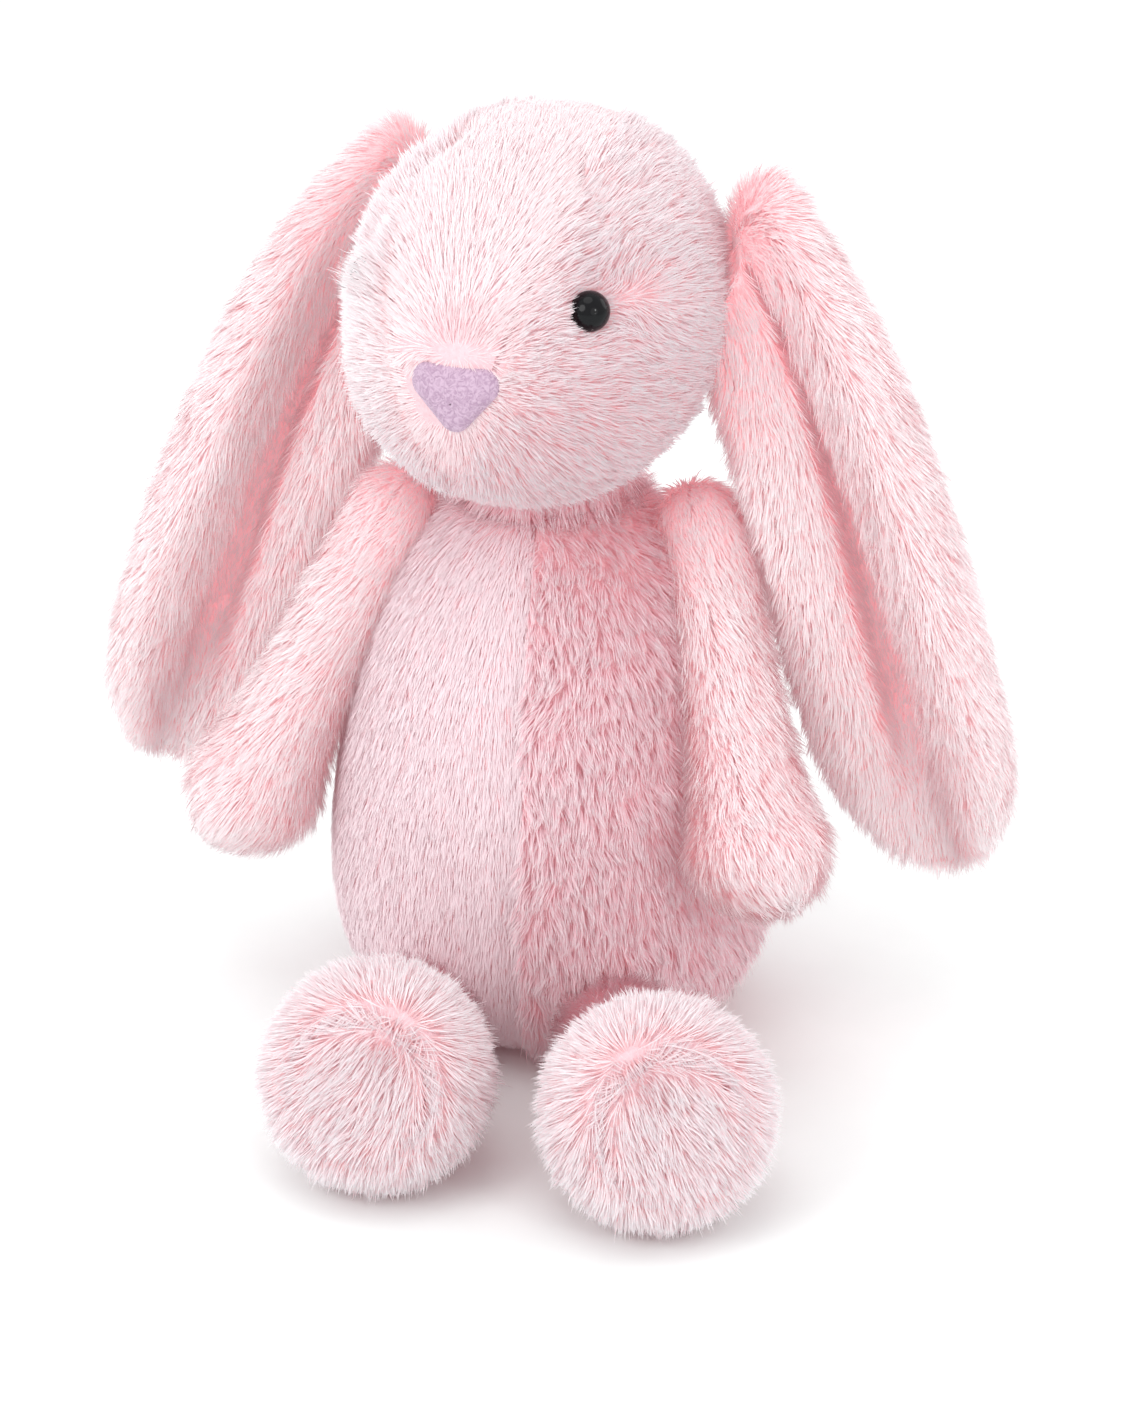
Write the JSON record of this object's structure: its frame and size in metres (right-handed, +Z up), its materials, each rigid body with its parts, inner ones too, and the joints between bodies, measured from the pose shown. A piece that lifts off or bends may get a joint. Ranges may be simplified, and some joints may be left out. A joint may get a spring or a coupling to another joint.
{
  "type": "plush bunny",
  "caption": "Sitting plush bunny in soft pink fur with long folded ears that hang down, round weighted feet, bead eyes and a small fabric nose.",
  "frame": {"origin": "middle of the flat seat, on the surface that the bunny sits on", "axes": "+Z up, -Y is the direction that the torso faces, +X is the bunny's own left"},
  "size_m": [0.2529, 0.228, 0.2501],
  "materials": {
    "fur_pink": "long soft plush pile",
    "fur_pale": "long soft plush pile, paler",
    "nose_cloth": "short smooth velour",
    "eye_bead": "polished",
    "washer": "matte",
    "stuffing": "polyester fibre",
    "bean_cloth": "woven pouch cloth filled with plastic pellets"
  },
  "bodies": {
    "torso": {"torso_front_left": "fur_pink", "torso_front_right": "fur_pink", "torso_back": "fur_pink", "seat_panel": "fur_pink", "torso_stuffing": "stuffing", "seat_bean_pouch": "bean_cloth"},
    "neck": {"neck_core": "stuffing"},
    "head": {"forehead_gusset": "fur_pale", "cheek_left": "fur_pale", "cheek_right": "fur_pale", "chin_panel": "fur_pale", "head_stuffing": "stuffing", "nose_patch": "nose_cloth", "eye_left": "eye_bead", "eye_right": "eye_bead", "eye_washer_left": "washer", "eye_washer_right": "washer"},
    "tail": {"tail_cover": "fur_pale", "tail_stuffing": "stuffing"},
    "ear_left": {"ear_left_back": "fur_pink", "ear_left_lining": "fur_pale"},
    "arm_left": {"arm_left_outer": "fur_pink", "arm_left_inner": "fur_pink", "arm_left_stuffing": "stuffing"},
    "leg_left": {"leg_left_sleeve": "fur_pink", "leg_left_stuffing": "stuffing"},
    "foot_left": {"foot_left_upper": "fur_pale", "foot_left_sole": "fur_pale", "foot_left_stuffing": "stuffing", "foot_left_bean_pouch": "bean_cloth"},
    "ear_right": {"ear_right_back": "fur_pink", "ear_right_lining": "fur_pale"},
    "arm_right": {"arm_right_outer": "fur_pink", "arm_right_inner": "fur_pink", "arm_right_stuffing": "stuffing"},
    "leg_right": {"leg_right_sleeve": "fur_pink", "leg_right_stuffing": "stuffing"},
    "foot_right": {"foot_right_upper": "fur_pale", "foot_right_sole": "fur_pale", "foot_right_stuffing": "stuffing", "foot_right_bean_pouch": "bean_cloth"}
  },
  "joints": [
    {"name": "neck_turn", "type": "hinge", "parent": "torso", "child": "neck", "pos_m": [0, -0.002, 0.149], "axis": [0, 0, 1], "range_deg": [-14, 12]},
    {"name": "head_nod", "type": "hinge", "parent": "neck", "child": "head", "pos_m": [0, -0.002, 0.149], "axis": [0.9455, -0.3256, 0], "range_deg": [-15, 8]},
    {"name": "ear_left_lift", "type": "hinge", "parent": "head", "child": "ear_left", "pos_m": [0.04711, -0.00341, 0.217], "axis": [0.3256, 0.9455, 0], "range_deg": [-85, 0]},
    {"name": "ear_right_lift", "type": "hinge", "parent": "head", "child": "ear_right", "pos_m": [-0.03609, 0.02524, 0.217], "axis": [-0.3256, -0.9455, 0], "range_deg": [-72, 0]},
    {"name": "arm_left_swing", "type": "hinge", "parent": "torso", "child": "arm_left", "pos_m": [0.043, -0.004, 0.137], "axis": [1, 0, 0], "range_deg": [-105, 0]},
    {"name": "arm_right_swing", "type": "hinge", "parent": "torso", "child": "arm_right", "pos_m": [-0.043, -0.004, 0.137], "axis": [1, 0, 0], "range_deg": [-105, 5]},
    {"name": "leg_left_swing", "type": "hinge", "parent": "torso", "child": "leg_left", "pos_m": [0.025, -0.0485, 0.0155], "axis": [1, 0, 0], "range_deg": [-12, 85]},
    {"name": "leg_right_swing", "type": "hinge", "parent": "torso", "child": "leg_right", "pos_m": [-0.025, -0.0485, 0.0155], "axis": [1, 0, 0], "range_deg": [-4, 85]},
    {"name": "foot_left_flex", "type": "hinge", "parent": "leg_left", "child": "foot_left", "pos_m": [0.048, -0.119, 0.028], "axis": [1, 0, 0], "range_deg": [-30, 30]},
    {"name": "foot_right_flex", "type": "hinge", "parent": "leg_right", "child": "foot_right", "pos_m": [-0.024, -0.112, 0.028], "axis": [1, 0, 0], "range_deg": [-30, 30]},
    {"name": "tail_wag", "type": "hinge", "parent": "torso", "child": "tail", "pos_m": [0, 0.058, 0.03], "axis": [0, 0, 1], "range_deg": [-18, 18]}
  ]
}
